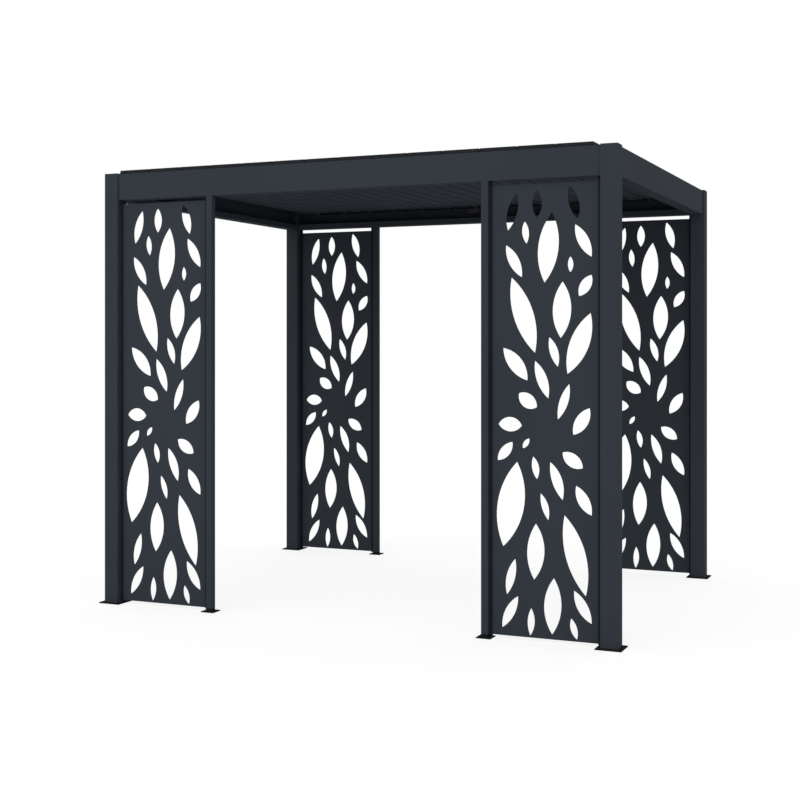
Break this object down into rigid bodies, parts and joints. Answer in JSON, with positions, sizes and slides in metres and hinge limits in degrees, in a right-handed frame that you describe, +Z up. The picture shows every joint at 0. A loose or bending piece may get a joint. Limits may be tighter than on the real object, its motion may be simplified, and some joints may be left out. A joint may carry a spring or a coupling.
{
  "type": "louvred roof pergola",
  "caption": "Free-standing garden pergola with corner posts, gutter beams, tilting roof louvres joined by a link bar, and leaf-cut metal screens beside the posts.",
  "frame": {"origin": "centre of the footprint, on the ground", "axes": "+X along the long front side, the front with its walkway faces -Y, +Z up"},
  "size_m": [3.095, 2.345, 2.5168],
  "materials": {
    "frame_coat": "fine-textured anthracite powder coat",
    "screen_coat": "fine-textured anthracite powder coat",
    "louvre_coat": "satin anthracite powder coat",
    "channel_coat": "matt black powder coat",
    "base_coat": "black powder coat on steel",
    "zinc_steel": "black zinc plated",
    "black_anodised": "black anodised",
    "mill_aluminium": "mill finish",
    "nylon": "black nylon",
    "drive_housing": "die cast, black coated",
    "drive_can": "black paint"
  },
  "bodies": {
    "frame": {"beam_brackets": "zinc_steel", "corner_base_front_left": "base_coat", "corner_base_front_right": "base_coat", "corner_base_rear_left": "base_coat", "corner_base_rear_right": "base_coat", "corner_post_front_left": "frame_coat", "corner_post_front_right": "frame_coat", "corner_post_rear_left": "frame_coat", "corner_post_rear_right": "frame_coat", "drive_gearbox": "drive_housing", "drive_motor": "drive_can", "frame_bolts": "zinc_steel", "gutter_beam_front": "frame_coat", "gutter_beam_left": "frame_coat", "gutter_beam_rear": "frame_coat", "gutter_beam_right": "frame_coat", "leaf_screen_front_left": "screen_coat", "leaf_screen_front_right": "screen_coat", "leaf_screen_rear_left": "screen_coat", "leaf_screen_rear_right": "screen_coat", "pivot_bearer_front": "mill_aluminium", "pivot_bearer_rear": "mill_aluminium", "pivot_bushes_front": "nylon", "pivot_bushes_rear": "nylon", "post_cap_front_left": "frame_coat", "post_cap_front_right": "frame_coat", "post_cap_rear_left": "frame_coat", "post_cap_rear_right": "frame_coat", "screen_channels_front_left": "channel_coat", "screen_channels_front_right": "channel_coat", "screen_channels_rear_left": "channel_coat", "screen_channels_rear_right": "channel_coat", "screen_foot_front_left": "base_coat", "screen_foot_front_right": "base_coat", "screen_foot_rear_left": "base_coat", "screen_foot_rear_right": "base_coat", "screen_post_front_left": "frame_coat", "screen_post_front_right": "frame_coat", "screen_post_plugs": "nylon", "screen_post_rear_left": "frame_coat", "screen_post_rear_right": "frame_coat"},
    "louvre_01": {"louvre_01": "louvre_coat"},
    "louvre_02": {"louvre_02": "louvre_coat"},
    "louvre_03": {"louvre_03": "louvre_coat"},
    "louvre_04": {"louvre_04": "louvre_coat"},
    "louvre_05": {"louvre_05": "louvre_coat"},
    "louvre_06": {"louvre_06": "louvre_coat"},
    "louvre_07": {"louvre_07": "louvre_coat"},
    "louvre_08": {"louvre_08": "louvre_coat"},
    "louvre_09": {"louvre_09": "louvre_coat"},
    "louvre_10": {"louvre_10": "louvre_coat"},
    "louvre_11": {"louvre_11": "louvre_coat"},
    "louvre_12": {"louvre_12": "louvre_coat"},
    "louvre_13": {"louvre_13": "louvre_coat"},
    "louvre_14": {"louvre_14": "louvre_coat"},
    "link_bar": {"link_bar": "black_anodised"}
  },
  "joints": [
    {"name": "louvre_01_tilt", "type": "hinge", "parent": "frame", "child": "louvre_01", "pos_m": [-1.2845, 0, 2.4753], "axis": [0, 1, 0], "range_deg": [0, 90]},
    {"name": "louvre_02_tilt", "type": "hinge", "parent": "frame", "child": "louvre_02", "pos_m": [-1.08221, 0, 2.4753], "axis": [0, 1, 0], "range_deg": [0, 90]},
    {"name": "louvre_03_tilt", "type": "hinge", "parent": "frame", "child": "louvre_03", "pos_m": [-0.87993, 0, 2.4753], "axis": [0, 1, 0], "range_deg": [0, 90]},
    {"name": "louvre_04_tilt", "type": "hinge", "parent": "frame", "child": "louvre_04", "pos_m": [-0.67764, 0, 2.4753], "axis": [0, 1, 0], "range_deg": [0, 90]},
    {"name": "louvre_05_tilt", "type": "hinge", "parent": "frame", "child": "louvre_05", "pos_m": [-0.47536, 0, 2.4753], "axis": [0, 1, 0], "range_deg": [0, 90]},
    {"name": "louvre_06_tilt", "type": "hinge", "parent": "frame", "child": "louvre_06", "pos_m": [-0.27307, 0, 2.4753], "axis": [0, 1, 0], "range_deg": [0, 90]},
    {"name": "louvre_07_tilt", "type": "hinge", "parent": "frame", "child": "louvre_07", "pos_m": [-0.07079, 0, 2.4753], "axis": [0, 1, 0], "range_deg": [0, 90]},
    {"name": "louvre_08_tilt", "type": "hinge", "parent": "frame", "child": "louvre_08", "pos_m": [0.1315, 0, 2.4753], "axis": [0, 1, 0], "range_deg": [0, 90]},
    {"name": "louvre_09_tilt", "type": "hinge", "parent": "frame", "child": "louvre_09", "pos_m": [0.33379, 0, 2.4753], "axis": [0, 1, 0], "range_deg": [0, 90]},
    {"name": "louvre_10_tilt", "type": "hinge", "parent": "frame", "child": "louvre_10", "pos_m": [0.53607, 0, 2.4753], "axis": [0, 1, 0], "range_deg": [0, 90]},
    {"name": "louvre_11_tilt", "type": "hinge", "parent": "frame", "child": "louvre_11", "pos_m": [0.73836, 0, 2.4753], "axis": [0, 1, 0], "range_deg": [0, 90]},
    {"name": "louvre_12_tilt", "type": "hinge", "parent": "frame", "child": "louvre_12", "pos_m": [0.94064, 0, 2.4753], "axis": [0, 1, 0], "range_deg": [0, 90]},
    {"name": "louvre_13_tilt", "type": "hinge", "parent": "frame", "child": "louvre_13", "pos_m": [1.14293, 0, 2.4753], "axis": [0, 1, 0], "range_deg": [0, 90]},
    {"name": "louvre_14_tilt", "type": "hinge", "parent": "frame", "child": "louvre_14", "pos_m": [1.34521, 0, 2.4753], "axis": [0, 1, 0], "range_deg": [0, 90]},
    {"name": "link_bar_swing", "type": "hinge", "parent": "louvre_07", "child": "link_bar", "pos_m": [-0.04816, 1.086, 2.45267], "axis": [0, 1, 0], "range_deg": [-90, 0]}
  ],
  "couplings": [
    {"joint": "louvre_01_tilt", "follows": "louvre_07_tilt", "ratio": 1},
    {"joint": "louvre_02_tilt", "follows": "louvre_07_tilt", "ratio": 1},
    {"joint": "louvre_03_tilt", "follows": "louvre_07_tilt", "ratio": 1},
    {"joint": "louvre_04_tilt", "follows": "louvre_07_tilt", "ratio": 1},
    {"joint": "louvre_05_tilt", "follows": "louvre_07_tilt", "ratio": 1},
    {"joint": "louvre_06_tilt", "follows": "louvre_07_tilt", "ratio": 1},
    {"joint": "louvre_08_tilt", "follows": "louvre_07_tilt", "ratio": 1},
    {"joint": "louvre_09_tilt", "follows": "louvre_07_tilt", "ratio": 1},
    {"joint": "louvre_10_tilt", "follows": "louvre_07_tilt", "ratio": 1},
    {"joint": "louvre_11_tilt", "follows": "louvre_07_tilt", "ratio": 1},
    {"joint": "louvre_12_tilt", "follows": "louvre_07_tilt", "ratio": 1},
    {"joint": "louvre_13_tilt", "follows": "louvre_07_tilt", "ratio": 1},
    {"joint": "louvre_14_tilt", "follows": "louvre_07_tilt", "ratio": 1},
    {"joint": "link_bar_swing", "follows": "louvre_07_tilt", "ratio": -1}
  ]
}
